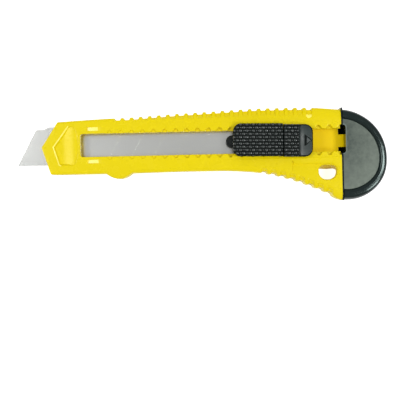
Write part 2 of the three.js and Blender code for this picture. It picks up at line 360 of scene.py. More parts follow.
def moulded_plastic(name, colour, streaks, roughness, grain=0.15, specular=0.5, tint=(1, 1, 1), glow=0.0):
    """Injection-moulded plastic: faint flow streaks in the colour, uneven gloss, fine surface grain
    and a few hair scratches along the handle."""
    material, nodes, links, shader = new_material(name)
    clouds = noise_field(nodes, links, 60, 4, (0.35, 1, 1))
    flow = remap(nodes, links, clouds, 0.3, 0.7, 0.0, 1.0)
    links.new(mix_colour(nodes, links, flow, colour, streaks), shader.inputs["Base Color"])
    patches = noise_field(nodes, links, 220, 5)
    scratches = noise_field(nodes, links, 900, 2, (0.06, 1, 1))
    gloss = remap(nodes, links, patches, 0.3, 0.7, roughness * 0.8, roughness * 1.25)
    hair = remap(nodes, links, scratches, 0.66, 0.72, 0.0, 0.12)
    links.new(add_values(nodes, links, gloss, hair), shader.inputs["Roughness"])
    fine = noise_field(nodes, links, 2600, 2)
    wavy = noise_field(nodes, links, 130, 2)
    normal = add_bump(nodes, links, wavy, 0.25, 0.0004)
    links.new(add_bump(nodes, links, fine, grain, 0.00004, normal), shader.inputs["Normal"])
    shader.inputs["Specular IOR Level"].default_value = specular
    shader.inputs["Specular Tint"].default_value = (*tint, 1.0)
    if glow:  # painted glow: the colour is emitted, standing in for light passing through the translucent plastic
        shader.inputs["Emission Color"].default_value = (*colour, 1.0)
        shader.inputs["Emission Strength"].default_value = glow
    return material


def scuffed_face(name, middle, colour, outer_colour, roughness):
    """Satin moulded face, lighter away from its middle, with mottled tone and scratches."""
    material, nodes, links, shader = new_material(name)
    place = nodes.new("ShaderNodeTexCoord")
    from_middle = nodes.new("ShaderNodeVectorMath")
    from_middle.operation = "DISTANCE"
    from_middle.inputs[1].default_value = middle
    links.new(place.outputs["Object"], from_middle.inputs[0])
    lighter_outwards = remap(nodes, links, from_middle.outputs["Value"], 0.004, 0.026, 0.0, 0.75)
    mottle = remap(nodes, links, noise_field(nodes, links, 420, 5, roughness=0.6), 0.35, 0.7, -0.12, 0.22)
    amount = add_values(nodes, links, lighter_outwards, mottle, clamp=True)
    links.new(mix_colour(nodes, links, amount, colour, outer_colour), shader.inputs["Base Color"])
    scratches = noise_field(nodes, links, 700, 2, (1, 0.08, 1))
    gloss = remap(nodes, links, scratches, 0.35, 0.7, roughness * 0.8, roughness * 1.3)
    links.new(gloss, shader.inputs["Roughness"])
    fine = noise_field(nodes, links, 3200, 2)
    links.new(add_bump(nodes, links, fine, 0.5, 0.00004), shader.inputs["Normal"])
    return material


def rolled_steel(name, colour, dark, roughness):
    """Cold-rolled strip: fine lines along the blade, cloudy oil marks and small spots."""
    material, nodes, links, shader = new_material(name)
    lines = noise_field(nodes, links, 3000, 2, (0.02, 1, 1))
    clouds = noise_field(nodes, links, 70, 4, (0.6, 1, 1))
    tone = remap(nodes, links, clouds, 0.3, 0.7, 0.0, 1.0)
    links.new(mix_colour(nodes, links, tone, colour, dark), shader.inputs["Base Color"])
    gloss = remap(nodes, links, lines, 0.3, 0.7, roughness * 0.93, roughness * 1.08)
    links.new(gloss, shader.inputs["Roughness"])
    links.new(add_bump(nodes, links, lines, 0.04, 0.00001), shader.inputs["Normal"])
    shader.inputs["Metallic"].default_value = 1.0
    return material


# All yellows glow a little: painted fill light in the plastic's own colour.
YELLOW = moulded_plastic(
    "yellow_plastic", (0.82, 0.66, 0.0), (0.80, 0.635, 0.0), 0.26, tint=(1, 0.93, 0.45), glow=0.05)
# Channel floor: painted light, an orange copy of the yellow as it looks in shade, glowing strongly to stand
# in for light reaching into the deep channel.
YELLOW_CHANNEL_PAINTED_LIGHT = moulded_plastic(
    "yellow_channel_painted_light", (0.84, 0.61, 0.0), (0.82, 0.59, 0.0), 0.5, specular=0.15, glow=0.27)
# Painted highlight: a paler, glowing yellow for the edges and hollows where the lamps would glint.
YELLOW_PAINTED_HIGHLIGHT = moulded_plastic(
    "yellow_painted_highlight", (0.95, 0.82, 0.13), (0.92, 0.78, 0.10), 0.3, glow=0.16)
BLACK = moulded_plastic(
    "black_plastic", (0.006, 0.011, 0.010), (0.004, 0.008, 0.007), 0.26, grain=0.2)
# Painted shade: a blacker, matt copy of the slider's black for its valleys and for faces that don't face up.
BLACK_PAINTED_SHADE = moulded_plastic(
    "black_painted_shade", (0.003, 0.006, 0.005), (0.002, 0.004, 0.003), 0.6, specular=0.14)
# Painted highlight: a lighter, glossier copy of the black for the tops of the slider's bumps.
BLACK_PAINTED_HIGHLIGHT = moulded_plastic(
    "black_painted_highlight_tops", (0.018, 0.028, 0.025), (0.011, 0.019, 0.017), 0.28, specular=0.9)
BLACK_SATIN = moulded_plastic(
    "black_satin", (0.016, 0.030, 0.027), (0.011, 0.021, 0.019), 0.32, grain=0.3, specular=0.36)
CAP_RIM = moulded_plastic(
    "cap_plastic", (0.003, 0.008, 0.008), (0.002, 0.006, 0.006), 0.17, grain=0.05, tint=(0.8, 1, 0.95))
# Painted shade: a blacker, matt copy of the cap's black for the notch floor and the latch's pocket.
CAP_PAINTED_SHADE = moulded_plastic(
    "cap_painted_shade", (0.002, 0.003, 0.002), (0.001, 0.002, 0.001), 0.8, specular=0.08)
# Painted highlight: a lighter grey on the notch's rounded edge, where light glints.
CAP_PAINTED_HIGHLIGHT = moulded_plastic("cap_painted_highlight", (0.17, 0.215, 0.19), (0.10, 0.13, 0.115), 0.4)
CAP_FACE_MIDDLE = (0.066, 0.0, 0.011)  # in metres
CAP_FACE = scuffed_face("cap_face_satin", CAP_FACE_MIDDLE, (0.045, 0.066, 0.052), (0.18, 0.22, 0.175), 0.42)
STEEL = rolled_steel("blade_steel", (0.84, 0.85, 0.82), (0.79, 0.80, 0.78), 0.22)

# ---- handle body --------------------------------------------------------------------------
BODY_TOP = BODY_HIGH[2]
BODY_REAR = 69.4
RIBS = {"first": -34.3, "pitch": 4.24, "count": 22, "depth": 1.0, "bottom": 0.95, "mouth": 1.55}
GRIP = {"first": 33.45, "pitch": 4.32, "count": 8, "depth": 1.05, "bottom": 0.6, "mouth": 1.6}
NOSE_POINT = (-70.0, -0.6)
NOSE_LOW_CORNER = (-65.8, -13.3)
NOSE_EDGE_RADIUS = 1.0
TOP_EDGE = [
    (-75, 10.6), (-62.3, 11.2), (-37.5, 12.3), (-30, 12.47), (-20, 13.05), (-8, 13.75),
    (5, 14.3), (20, 15.05), (33, 15.48), (44, 15.5), (56, 15.25), (BODY_REAR, 14.1),
]
GRIP_EDGE = [
    (-28.2, -13.3), (3.4, -13.1), (20, -13.4), (31.5, -14.5), (40.5, -16.4), (49.3, -19.05),
    (58.2, -22.6), (63.5, -25), (67.2, -27.4), (BODY_REAR, -28.1),
]
FINGER_STOP = (-40.3, -28.1, 2.55)  # left end, right end, drop
CHANNEL = {"left": -53.4, "half": 9.8, "floor": 2.6, "roof": 7.5, "nose_roof": 3.7}
WINDOW = {"left": -51.9, "half": 5.35, "corner": 1.2}
WINDOW_EDGE = 0.35  # rounding of the edges of the window, the slot and the teeth
NOSE_GROOVE = WINDOW["left"] - 1.1
TEETH = {"first": -38.2, "pitch": 5.11, "count": 22}
TRACK_EDGES = (-8.0, 8.6)  # the slider's sunken track on the face, fading in behind the middle
TRACK_DEPTH = 0.16
HANG_HOLE = {"left": 58.7, "right": 66.8, "bottom": -18.3, "top": -12.1, "radius": 3.6}
LATCH_HALF = 3.05
# x, y, radius and depth of the round ejector marks
EJECTOR_MARKS = ((54.6, 11.6, 1.3, 0.5), (59.5, 10.6, 1.1, 0.08), (65.4, 10.4, 1.0, 0.06))
RAMP = {"left": -48.6, "right": -41.0, "middle": 7.55, "half": 0.8, "depth": 0.95}


def lower_edge(x):
    left, right, drop = FINGER_STOP
    if x > right:
        return smooth_line(GRIP_EDGE, x)
    t = (x - left) / (right - left)
    return -13.3 - (drop * 4 * t * (1 - t) if t > 0 else 0.0)


def upper_edge(x):
    return min(float(smooth_line(TOP_EDGE, x)), BODY_HIGH[1] - 0.01)


def groove(row, x):
    """Depth of a row of grooves at x: flat bottoms with rounded flanks."""
    index = np.clip(round((x - row["first"]) / row["pitch"]), 0, row["count"] - 1)
    away = abs(x - row["first"] - index * row["pitch"])
    return row["depth"] * (1 - smoothstep(row["bottom"], row["mouth"], away))


def track_depth(x):
    return TRACK_DEPTH * float(smoothstep(2, 24, x))


def edge_profile(x, side):
    """(y, z) points of one long edge, from the back face round to the front. side is +1 or -1 in Y."""
    row = RIBS if side > 0 else GRIP
    edge = abs(upper_edge(x) if side > 0 else lower_edge(x))
    # The front is rounded off over this width and drop, which grow towards the rear.
    width = np.interp(x, [-50, -30, 10, 45], [1.3, 1.5, 4.2, 5.6] if side > 0 else [1.3, 1.4, 1.7, 4.2])
    drop = np.interp(x, [-30, 10, 45], [1.1, 1.5, 2.0] if side > 0 else [1.1, 1.2, 1.9])
    depth = groove(row, x)
    back_radius = 1.1
    points = []
    for angle in np.radians(np.linspace(-90, 0, 6)):
        out = edge - back_radius + back_radius * math.cos(angle)
        up = back_radius + back_radius * math.sin(angle)
        fade = smoothstep(-90, -40, math.degrees(angle))
        points.append((out - depth * fade * math.cos(angle), up - depth * fade * math.sin(angle) * 0.3))
    for height in np.linspace(back_radius, BODY_TOP - drop, 5)[1:-1]:
        points.append((edge - depth, height))
    for angle in np.radians(np.linspace(0, 90, 15)):
        out = edge - width + width * math.cos(angle)
        up = BODY_TOP - drop + drop * math.sin(angle)
        normal = Vector((math.cos(angle) / width, math.sin(angle) / drop)).normalized()
        fade = 1 - smoothstep(48, 84, math.degrees(angle))
        points.append((out - depth * fade * normal.x, up - depth * fade * normal.y))
    return [(side * y, z) for y, z in points]


def body_section(x):
    """Closed ring of the solid bar, before anything is cut out of it."""
    right = edge_profile(x, 1)
    left = edge_profile(x, -1)
    sunk = BODY_TOP - track_depth(x)
    low, high = TRACK_EDGES
    step = 0.2
    inner = right[-1][0] - 0.05  # keeps the points in order where the rounded edge reaches in this far
    across = [
        (min(high + 2 * step, inner), BODY_TOP), (min(high + step, inner - 0.05), BODY_TOP),
        (high - step, sunk), (high - 2 * step, sunk),
        (5.0, sunk), (0.0, sunk), (-5.0, sunk),
        (low + 2 * step, sunk), (low + step, sunk),
        (low - step, BODY_TOP), (low - 2 * step, BODY_TOP),
    ]
    back = [(y, 0.0) for y in (-6.0, -2.0, 2.0, 6.0)]
    return [(x, y, z) for y, z in [*right, *across, *reversed(left), *back]]


def body_stations():
    """Where along the handle its sections lie: evenly spread, and closer on the flanks of the grooves."""
    xs = set(np.round(np.arange(-73, BODY_REAR - 0.5, 0.7), 3))
    for row in (RIBS, GRIP):
        for i in range(row["count"]):
            centre = row["first"] + i * row["pitch"]
            flank = np.linspace(row["bottom"], row["mouth"], 5)
            for away in (*flank, row["bottom"] / 2, 0.0):
                xs.update(np.round([centre - away, centre + away], 3))
    left, right, _ = FINGER_STOP
    xs.update((left, right))
    ordered = [x for x in sorted(xs) if x < BODY_REAR - 0.4]
    kept = [ordered[0]]
    for x in ordered[1:]:
        if x - kept[-1] > 0.06:
            kept.append(x)
    return kept


def solid_bar():
    """The handle as one bar with grooved edges. Its rear end is a little dished inside its edge."""
    rings = [body_section(x) for x in body_stations()]
    dish = 0.3
    half_width = 21.2
    middle = np.array([0, (upper_edge(BODY_REAR) + lower_edge(BODY_REAR)) / 2, BODY_TOP / 2])
    half = np.array([1, half_width, BODY_TOP / 2])
    section = np.array(body_section(BODY_REAR - dish)) - middle
    for depth, inwards in quarter(dish):
        ring = section * (1 - np.array([0, inwards, inwards]) / half) + middle
        ring[:, 0] = BODY_REAR - depth
        rings.append(ring)
    return loft("handle_body_shell", rings)


def nose_cutter():
    """Everything in front of the pointed nose."""
    upper = beyond(TOP_EDGE[1], NOSE_POINT, -4)
    lower = beyond(NOSE_LOW_CORNER, NOSE_POINT, -4)
    front = -85
    point = rounded_corner(upper, NOSE_POINT, lower, NOSE_EDGE_RADIUS)
    outline = [upper, *point, lower, (front, lower[1]), (front, upper[1])]
    outline.reverse()
    return flared("nose_cutter", outline, 0, BODY_TOP, top=0.45, bottom=0.5)


def nose_corner_cutter():
    """The wedge that rounds the lower corner of the nose."""
    along = (-50.0, NOSE_LOW_CORNER[1])
    curve = rounded_corner(NOSE_POINT, NOSE_LOW_CORNER, along, NOSE_EDGE_RADIUS)
    outside = (NOSE_LOW_CORNER[0] - 2, NOSE_LOW_CORNER[1] - 2)
    outline = [outside, (curve[-1][0], outside[1]), *reversed(curve), (outside[0], curve[0][1])]
    return flared("nose_corner_cutter", outline, 0, BODY_TOP, top=0.3, bottom=0.3)


def slot_cutter():
    """The long slot behind the window's front end, open at the rear."""
    half = WINDOW["half"]
    radius = WINDOW_EDGE
    rings = []
    for x in (*np.arange(WINDOW["left"] + 1.3, BODY_REAR, 3.0), BODY_REAR + 6):
        face = BODY_TOP - track_depth(x)
        edge = [(half + out, face - radius + up) for up, out in quarter(radius)]
        side = [(half, CHANNEL["floor"] + 1), *edge, (half + radius, BODY_TOP + 1)]
        other_side = [(-y, z) for y, z in reversed(side)]
        rings.append([(x, y, z) for y, z in [*side, *other_side]])
    return loft("slot_cutter", rings)


def window_end_cutter():
    """The window's front end, with its two rounded corners."""
    left, half, corner = WINDOW["left"], WINDOW["half"], WINDOW["corner"]
    outline = rounded_rectangle(left, left + 3, -half, half, (corner, 0.2, 0.2, corner), 5)
    return flared("window_end_cutter", outline, CHANNEL["roof"], BODY_TOP, top=WINDOW_EDGE)


def tooth_plans():
    """Outline, floor and face height of the pawl notches along both walls of the slot.

    They start small and shallow, and grow towards the rear.
    """
    plans = []
    inside = WINDOW["half"] - 1
    for i in range(TEETH["count"]):
        x = TEETH["first"] + i * TEETH["pitch"]
        grown = float(smoothstep(-45, 25, x))
        mouth = 1.25 + 0.35 * grown
        bottom = 0.35 + 0.15 * grown
        tip = WINDOW["half"] + 1.3 + 0.3 * grown
        face = BODY_TOP - track_depth(x)
        floor = face - 0.45 - 1.3 * grown
        for side in (-1, 1):
            root = [(x - mouth - 0.15, side * inside), (x - mouth, side * WINDOW["half"])]
            corner = [(x - bottom - 0.15, side * (tip - 0.25)), (x - bottom + 0.15, side * tip)]
            half_outline = [*root, *corner]
            outline = [*half_outline, *[(2 * x - px, py) for px, py in reversed(half_outline)]]
            if side > 0:
                outline.reverse()
            plans.append((outline, floor, face))
    return plans


def pawl_notch(index, outline, floor, face):
    """One pawl notch: a pocket with a floor, open towards the slot, with a rounded upper edge."""
    edge = [(face - WINDOW_EDGE + up, out) for up, out in quarter(WINDOW_EDGE)]
    return layered(f"notch_{index}", outline, [(floor, -0.05), *edge, (face + 1, WINDOW_EDGE)])


def nose_hollow():
    """Shield-shaped hollow with bevelled walls. Its floor sweeps up towards the window."""
    deep, rise = 1.0, 0.62
    half, above = 12, 14
    rings = []
    for x in np.linspace(-66, -52.6, 60):
        floor = BODY_TOP - deep + rise * float(smoothstep(-60.7, -53.9, x))
        rings.append([(x, -half, floor), (x, half, floor), (x, half, above), (x, -half, above)])
    scoop = loft("nose_scoop", rings)
    rear_end = arc(-72.4, -0.2, 19.6, -27, 27, 12)
    outline = [(-57.3, 8.9), (-64.3, -0.6), (-61.7, -8.8), (-60.9, -9.1), *rear_end]
    bevel = [(BODY_TOP - 1.02, -0.72), (BODY_TOP - 0.17, -0.05), (BODY_TOP - 0.01, 0.42)]
    shield = layered("nose_shield", outline, [(8, -0.75), *bevel, (13, 0.5)])
    return boolean(scoop, shield, "INTERSECT")


def nose_groove():
    """Shallow groove across the nose, just in front of the window: gentle in front and steep behind."""
    x = NOSE_GROOVE
    floor, above = BODY_TOP - 0.2, 13
    bottom = [(x - 0.65, BODY_TOP), (x - 0.2, floor), (x, floor), (x + 0.1, BODY_TOP)]
    return along_y("nose_groove", [*bottom, (x + 0.1, above), (x - 0.65, above)], -4.5, 4.9)


def grip_hollow():
    """Sunken face around the hang hole: deepest below its straight upper edge, fading out downwards."""
    outline = [(46.5, -9.3), (47.1, -11.0), (65.2, -11.1), (67.4, -13.4), (67.6, -24), (46.5, -24)]
    outline.reverse()
    edge = [(BODY_TOP - 0.45, 0), (BODY_TOP - 0.13, 0.3), (BODY_TOP, 0.75)]
    shape = layered("grip_shape", outline, [(8, 0), *edge, (BODY_TOP + 1, 0.8)])
    above = 14
    floor = [(-9, 10.35), (-11, 10.35), (-13, 10.62), (-16, 10.85), (-20, 11.04), (-26, 11.6)]
    wedge = along_x("grip_wedge", [*floor, (-26, above), (-9, above)], 40, 72)
    return boolean(shape, wedge, "INTERSECT")


def hang_hole():
    """Oval opening with a sloping upper wall, whose arched edge lies higher in front than in the back."""
    left, right, top, radius = (HANG_HOLE[key] for key in ("left", "right", "top", "radius"))
    middle = HANG_HOLE["bottom"] + radius
    sides = [
        *arc(left + radius, middle, radius, 180, 270, 10),
        *arc(right - radius, middle, radius, 270, 360, 10),
    ]
    # height, distance outwards, and how far the upper wall is moved up and arched
    levels = [
        (-2, 0.4, -0.3, -0.7), (0, 0.4, -0.3, -0.7), (0.4, 0, -0.4, -0.7),
        (9.6, 0, 0, 0.55), (10.0, 0.1, 0, 0.6), (10.3, 0.45, 0, 0.65), (14, 0.45, 0, 0.65),
    ]
    rings = []
    for z, out, rise, arch in levels:
        lean = 1.2 * (1 - min(max(z, 0.0), BODY_TOP) / BODY_TOP)
        lower = [(x + lean * float(smoothstep(left + radius, right, x)), y) for x, y in sides]
        upper = []
        for t in np.linspace(0, 1, 15):
            x = right + lean + (left - right - lean) * t
            corner = 1.3 * (abs(2 * t - 1) ** 5)
            upper.append((x, top + rise + arch * (1 - (2 * t - 1) ** 2) - corner))
        ring = offset([*lower, *upper], out) if out else np.array([*lower, *upper])
        rings.append(np.c_[ring, np.full(len(ring), z)])
    return loft("hang_hole", rings)


def ramp_pocket(side):
    """Small pocket beside the front of the window: steep at its front end and running out behind."""
    left, right, half = RAMP["left"], RAMP["right"], RAMP["half"]
    y = side * RAMP["middle"]
    outline = rounded_rectangle(left, right, y - half, y + half, (0.2, 0.2, 0.2, 0.2), 3)
    shape = flared(f"ramp_{side}", outline, 8, BODY_TOP, top=0.3)
    start, length, above = -48.8, 7.6, 13
    xs = np.linspace(start, right - 0.3, 14)
    floor = [(x, BODY_TOP - RAMP["depth"] * (1 - (x - start) / length) ** 1.5) for x in xs]
    profile = [(-49.5, 10.0), *floor, (right, BODY_TOP + 0.1), (right, above), (-49.5, above)]
    return boolean(shape, along_y(f"ramp_floor_{side}", profile, y - 2, y + 2), "INTERSECT")


def lens_dimple(name, x, y, radius, depth):
    """Shallow round ejector mark in the front face."""
    angles = np.linspace(0, 2 * math.pi, 24, endpoint=False)
    rings = []
    for share in (0.2, 0.6, 0.9, 1.0, 1.1):
        reach = radius * share
        height = BODY_TOP - depth * math.sqrt(max(0.0, 1 - min(share, 1.0) ** 2))
        if share > 1:
            height += 0.2
        rings.append([(x + reach * math.cos(a), y + reach * math.sin(a), height) for a in angles])
    return loft(name, rings)


def latch_tab():
    """Springy tab that runs from the channel floor into the end cap, rolled over at its tip."""
    upper = [
        (64, 2.2), (66, 2.62), (69.6, 2.72), (70.4, 2.7), (71.1, 2.6),
        (71.8, 2.4), (72.6, 2.1), (73.6, 1.8), (74.5, 1.5),
    ]
    bottom = 1.2
    lower = [(74.5, bottom), (64, bottom)]
    half = LATCH_HALF
    edge = [(half, 0.35), (half - 0.12, 0.12), (half - 0.35, 0)]  # (y, how far the top is lowered)
    other_edge = [(-y, inset) for y, inset in edge]
    rings = []
    for y, inset in [*other_edge, *reversed(edge)]:
        rings.append([*[(x, y, z - inset) for x, z in upper], *[(x, y, z) for x, z in lower]])
    return loft("latch_tab", rings)


def is_painted_highlight(x, y, depth, normal):
    """Whether a small face gets the painted highlight: one of the bright edges and hollows on the handle's
    front, painted paler where the lamps glint.
    """
    facing_rear = normal.x > 0.1 and 0.5 < normal.z < 0.985
    if -66 < x < -56 and abs(y) < 10:  # front bevels of the nose hollow
        return facing_rear and 0.02 < depth < 0.18
    if abs(x - NOSE_GROOVE + 0.4) < 0.5 and abs(y) < 5:  # front flank of the nose groove
        return facing_rear and 0.02 < depth < 0.2
    if RAMP["left"] < x < -43.8 and 6.6 < abs(y) < 8.5:  # deep ends of the ramp pockets
        return normal.z > 0.9 and 0.12 < depth < 1.2
    mark_x, mark_y, radius, _ = EJECTOR_MARKS[0]  # the deepest ejector mark
    return math.hypot(x - mark_x, y - mark_y) < radius and 0.05 < depth < 0.6


def build_handle():
    body = solid_bar()
    left, half, floor = CHANNEL["left"], CHANNEL["half"], CHANNEL["floor"]
    cut(body, nose_cutter(), nose_corner_cutter())
    cut(body, block("channel", (left, BODY_REAR + 6), (-half, half), (floor, CHANNEL["roof"])))
    cut(body, block("nose_slit", (-90, left + 1), (-half, half), (floor, CHANNEL["nose_roof"])))
    cut(body, slot_cutter(), window_end_cutter())
    notches = [pawl_notch(i, *plan) for i, plan in enumerate(tooth_plans())]
    cut(body, joined("notches", notches))
    cut(body, nose_hollow(), nose_groove(), grip_hollow(), hang_hole(), ramp_pocket(-1), ramp_pocket(1))
    for i, (x, y, radius, depth) in enumerate(EJECTOR_MARKS):
        cut(body, lens_dimple(f"dimple_{i}", x, y, radius, depth))
    add(body, latch_tab())
    set_materials(body, YELLOW, YELLOW_CHANNEL_PAINTED_LIGHT, YELLOW_PAINTED_HIGHLIGHT)
    for face in body.data.polygons:
        x, y, z = face.center / MM
        # painted light: the channel floor takes the orange, glowing copy of the yellow
        if face.normal.z > 0.7 and abs(y) < half and abs(z - floor) < 0.45:  # channel floor
            face.material_index = 1
        # painted highlight on the glinting edges and hollows
        elif is_painted_highlight(x, y, BODY_TOP - z, face.normal):
            face.material_index = 2
    shade(body)
    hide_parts("handle_body")
    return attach(body, "handle")


# ---- end cap ------------------------------------------------------------------------------
CAP_CENTRE = (69.8, -7.2)
CAP_OUTLINE = [20.7, 21.75, 21.9, 20.92, 20.6, 20.75, 21.5]  # radii from -Y round to +Y
CAP_FACE_OUTLINE = [15.5, 16.5, 17.3, 16.7, 16.2, 16.1, 16.6]
FACE_TOP = 11.0
NOTCH_RIGHT = 71.5
COLLAR_TOP = 10.7
CAP_FLOOR = 0.7
SLIT = {"y": (-17.5, 2.5), "z": (5.2, 6.4)}


def cap_shell():
    """Half-round block: back fillet, straight wall, broad rolled rim and sunken face."""
    front = CAP_CENTRE[0] - 3
    outer = np.array(half_round(CAP_CENTRE, CAP_OUTLINE))
    inner = np.array(half_round(CAP_CENTRE, CAP_FACE_OUTLINE))
    # (share of the way from the face's outline to the cap's outline, height)
    rim = [
        (0.0, FACE_TOP), (0.05, 11.04), (0.12, 11.45), (0.19, 11.85), (0.27, 12.06),
        (0.36, 12.13), (0.45, 12.1), (0.55, 12.04), (0.65, 11.95), (0.72, 11.85),
        (0.79, 11.62), (0.86, 11.1), (0.92, 10.3), (0.97, 9.2), (1.0, 7.5),
    ]
    sides = [(0.80, 0.0), (0.9, 0.12), (0.97, 0.55), (1.0, 1.5), (1.0, 4.5)]
    rolled = [(share, float(smooth_line(rim, share))) for share in np.linspace(1, 0, 49)]
    rings = []
    for share, z in [*sides, *rolled]:
        ring = inner + share * (outer - inner)
        closed = [(front, ring[0][1]), *ring, (front, ring[-1][1])]
        rings.append([(x, y, z) for x, y in closed])
    return loft("end_cap_shell", rings)


def build_cap():
    cap = cap_shell()
    front = CAP_CENTRE[0]
    cut(cap, block("cap_front", (front - 10, front - 0.3), (-60, 60), (-5, 30)))
    cut(cap, block("cap_step", (front - 2, front + 0.4), (-60, 60), (10.55, 20)))
    collar = rounded_rectangle(CAP_LOW[1] + 0.05, 15.0, 0, COLLAR_TOP, (1.2, 1.2, 0.5, 0.5), 4)
    add(cap, along_x("collar", collar, front - 0.3, front + 0.35))
    notch = rounded_rectangle(front - 5, NOTCH_RIGHT, -6.3, 6.95, (0.2, 1.3, 1.3, 0.2), 6)
    notch_edge = FACE_TOP - 0.18
    cut(cap, layered("cap_notch", notch, [(CAP_FLOOR, 0), (notch_edge, 0), (FACE_TOP, 0.5), (20, 0.6)]))
    cut(cap, block("cap_pocket", (NOTCH_RIGHT - 1, 75), (-3.5, 3.5), (CAP_FLOOR, 4.0)))
    for side in (-1, 1):
        edges = sorted((side * 6.95, side * 9.45))
        outline = rounded_rectangle(CAP_LOW[0], front + 1, *edges, (0.5, 0.1, 0.1, 0.5), 3)
        add(cap, rounded_prism(f"prong_{side}", outline, 2.95, 7.15, 0.3, 0.3))
    cut(cap, block("cap_slit", (80, 110), SLIT["y"], SLIT["z"]))
    set_materials(cap, CAP_RIM, CAP_FACE, CAP_PAINTED_SHADE, CAP_PAINTED_HIGHLIGHT)
    for face in cap.data.polygons:
        x, y, z = face.center / MM
        upwards = face.normal.z
        if abs(z - FACE_TOP) < 0.05 and upwards > 0.9:
            face.material_index = 1
        # painted shade on the floor of the notch and the latch's pocket
        elif x < 76 and z < 4.5 and upwards > 0.5:  # floor of the notch and the latch's pocket
            face.material_index = 2
        elif x < 76 and abs(y) < 8 and z > notch_edge and 0.2 < upwards < 0.98:  # the notch's edge, with a painted highlight
            face.material_index = 3
    shade(cap)
    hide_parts("end_cap")
    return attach(cap, "cap")


# ---- blade --------------------------------------------------------------------------------
SEGMENT_PITCH = 10.43
SEGMENT_COUNT = 8
SEGMENT_SLOPE = math.radians(61)
SCORE_HALF = 0.06
SCORE_DEPTH = 0.08
BEVEL_WIDTH = 2.6
EDGE_HALF = 0.06
HOLE_X = 19.2
HOLE_RADIUS = 1.7
PIN_RADIUS = 1.35


def score_line(index):
    """V-shaped groove across the blade's upper face, along the end of a segment."""
    bottom, top, face = BLADE_LOW[1], BLADE_HIGH[1], BLADE_HIGH[2]
    half, mouth, above = SCORE_HALF, SCORE_HALF + 0.1, face + 0.1
    rings = []
    for y in (bottom - 1, top + 1):
        x = BLADE_LOW[0] + SEGMENT_PITCH * (index + 1) + (y - bottom) * (1 / math.tan(SEGMENT_SLOPE))
        left = [(x - mouth, y, above), (x - half, y, face)]
        right = [(x + half, y, face), (x + mouth, y, above)]
        rings.append([*left, (x, y, face - SCORE_DEPTH), *right])
    return loft(f"score_{index}", rings)


def build_blade():
    low, high = BLADE_LOW, BLADE_HIGH
    tip, rear = low[0], high[0]
    bottom, top = low[1], high[1]
    slope_top = tip + 8.9
    corner, step = 0.6, top - 1.1
    outline = [
        (tip, bottom), (rear - corner, bottom), (rear, bottom + corner),
        (rear, top - corner), (rear - corner, top),
        (slope_top + 5.9, top), (slope_top + 3.8, step), (slope_top + 0.3, step), (slope_top, top - 1.3),
    ]
    blade = rounded_prism("blade_strip", outline, low[2], high[2], 0.04, 0.04)
    cut(blade, joined("scores", [score_line(i) for i in range(SEGMENT_COUNT)]))
    # Ground bevels on both sides of the cutting edge.
    middle = (low[2] + high[2]) / 2
    for side in (-1, 1):
        face = high[2] if side > 0 else low[2]
        edge = middle + side * EDGE_HALF
        below, inner = bottom - 0.5, bottom + BEVEL_WIDTH
        profile = [(below, edge), (bottom, edge), (inner, face), (inner, face + side), (below, face + side)]
        cut(blade, along_x(f"bevel_{side}", profile, tip - 2, rear + 2))
    hole = arc(HOLE_X, (bottom + top) / 2, HOLE_RADIUS, 0, 360, 32)[:-1]
    cut(blade, flared("blade_hole", hole, low[2], high[2]))
    set_materials(blade, STEEL)
    shade(blade, 12)
    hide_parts("blade")
    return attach(blade, "carriage")


# ---- carrier ------------------------------------------------------------------------------
CARRIAGE_TILT = math.radians(-1.2)  # the carriage sits a little askew in its play
TILT_CENTRE = (45.0, 0.0)
PLATE_BOTTOM = BLADE_HIGH[2] + 0.35
NOSE_TOP = 7.15
NECK_TOP = 11.05


def askew(piece):
    """Turn a finished piece of the carriage about TILT_CENTRE."""
    centre = Vector((*TILT_CENTRE, 0)) * MM
    turn = Matrix.Rotation(CARRIAGE_TILT, 4, "Z")
    piece.data.transform(Matrix.Translation(centre) @ turn @ Matrix.Translation(-centre))


def pawl_arm(side):
    """Springy arm behind the neck, thicker at its free end, where the pawl is."""
    inner = [(39.5, 3.9), (47, 3.9), (47.6, 3.5), (50.6, 3.5)]
    outer = [(50.6, 4.3), (49.3, 5), (48.3, 5), (46.8, 4.7), (39.5, 5)]
    outline = [(x, side * y) for x, y in [*inner, *outer]]
    if side < 0:
        outline.reverse()
    return rounded_prism(f"pawl_{side}", outline, 5.95, 10.6, 0.15, 0.15)


def build_carrier():
    base = rounded_rectangle(20.6, 51.2, -9.1, 9.1, (2, 1, 1, 2), 6)
    carrier = rounded_prism("carrier_frame", base, PLATE_BOTTOM, 5.6, 0.25, 0.25)
    nose = rounded_rectangle(15.8, 23.6, -3.15, 2.85, (2.95, 0.5, 0.5, 2.95), 12)
    add(carrier, rounded_prism("carrier_nose", nose, PLATE_BOTTOM, NOSE_TOP, 0.35, 0.2))
    recess = rounded_rectangle(16.9, 20.0, -2.05, 1.75, (1.85, 0.3, 0.3, 1.85), 8)
    cut(carrier, flared("nose_recess", recess, 6.8, NOSE_TOP, top=0.1, past=0.0))
    neck = rounded_rectangle(21, 40.5, -4.75, 4.75, (0.6, 0.3, 0.3, 0.6), 4)
    add(carrier, rounded_prism("carrier_neck", neck, PLATE_BOTTOM + 0.5, NECK_TOP, 0.2, 0))
    socket = rounded_rectangle(25.6, 36.4, -3, 3, (0.4, 0.4, 0.4, 0.4), 3)
    cut(carrier, flared("carrier_socket", socket, 9.4, NECK_TOP, top=0.2))
    add(carrier, pawl_arm(-1), pawl_arm(1))
    askew(carrier)
    pin = arc(HOLE_X, (BLADE_LOW[1] + BLADE_HIGH[1]) / 2, PIN_RADIUS, 0, 360, 32)[:-1]
    add(carrier, rounded_prism("carrier_pin", pin, CARRIER_LOW[2], PLATE_BOTTOM + 1, 0, 0.15))
    set_materials(carrier, BLACK)
    shade(carrier)
    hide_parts("blade_carrier")
    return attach(carrier, "carriage")


